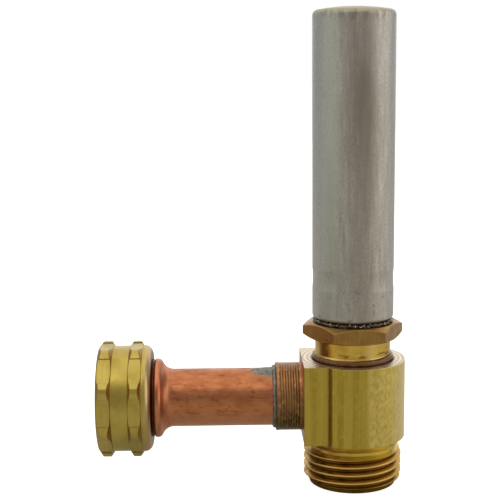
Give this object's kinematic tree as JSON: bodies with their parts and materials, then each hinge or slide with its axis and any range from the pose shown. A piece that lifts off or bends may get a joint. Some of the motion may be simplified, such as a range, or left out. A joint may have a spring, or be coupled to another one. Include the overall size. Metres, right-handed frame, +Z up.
{
  "type": "water hammer arrester tee",
  "caption": "Hose-thread tee with a tall closed arrester chamber on top, a male outlet below and a side tube with a loose female swivel nut.",
  "frame": {"origin": "centre of the male outlet's end face, on the main axis", "axes": "+Z up the main axis towards the closed chamber; the side tube points to -X; -Y is the front"},
  "size_m": [0.0842, 0.0298, 0.1301],
  "materials": {
    "tee_brass": "extruded brass, dulled olive, machined top",
    "adapter_brass": "turned and hexagon bar brass, brown tone",
    "chamber_metal": "drawn shell, satin nickel plate",
    "copper": "drawn copper tube, lightly oxidised",
    "solder": "tin solder, dull grey",
    "nut_brass": "machined brass, yellow, slightly worn",
    "sealant": "set thread sealant, dark brown",
    "washer_rubber": "flat rubber hose washer, black",
    "oring_rubber": "nitrile O-ring, black",
    "piston_plastic": "moulded acetal, natural white"
  },
  "bodies": {
    "tee": {"tee_body": "tee_brass", "hex_adapter": "adapter_brass", "chamber_shell": "chamber_metal", "branch_tube": "copper", "solder_joint": "solder", "spigot_oring": "oring_rubber", "chamber_sealant": "sealant", "thread_sealant": "sealant"},
    "piston": {"piston": "piston_plastic", "piston_oring_lower": "oring_rubber", "piston_oring_upper": "oring_rubber"},
    "washer": {"hose_washer": "washer_rubber"},
    "nut": {"swivel_nut": "nut_brass"}
  },
  "joints": [
    {"name": "piston_slide", "type": "slide", "parent": "tee", "child": "piston", "axis": [0, 0, 1], "range_m": [0, 0.045], "stiffness_N_per_m": 2000},
    {"name": "nut_float", "type": "slide", "parent": "tee", "child": "washer", "axis": [-1, 0, 0], "range_m": [0, 0.0011]},
    {"name": "nut_spin", "type": "hinge", "parent": "washer", "child": "nut", "pos_m": [-0.0625, 0, 0.02415], "axis": [1, 0, 0], "continuous": true}
  ]
}
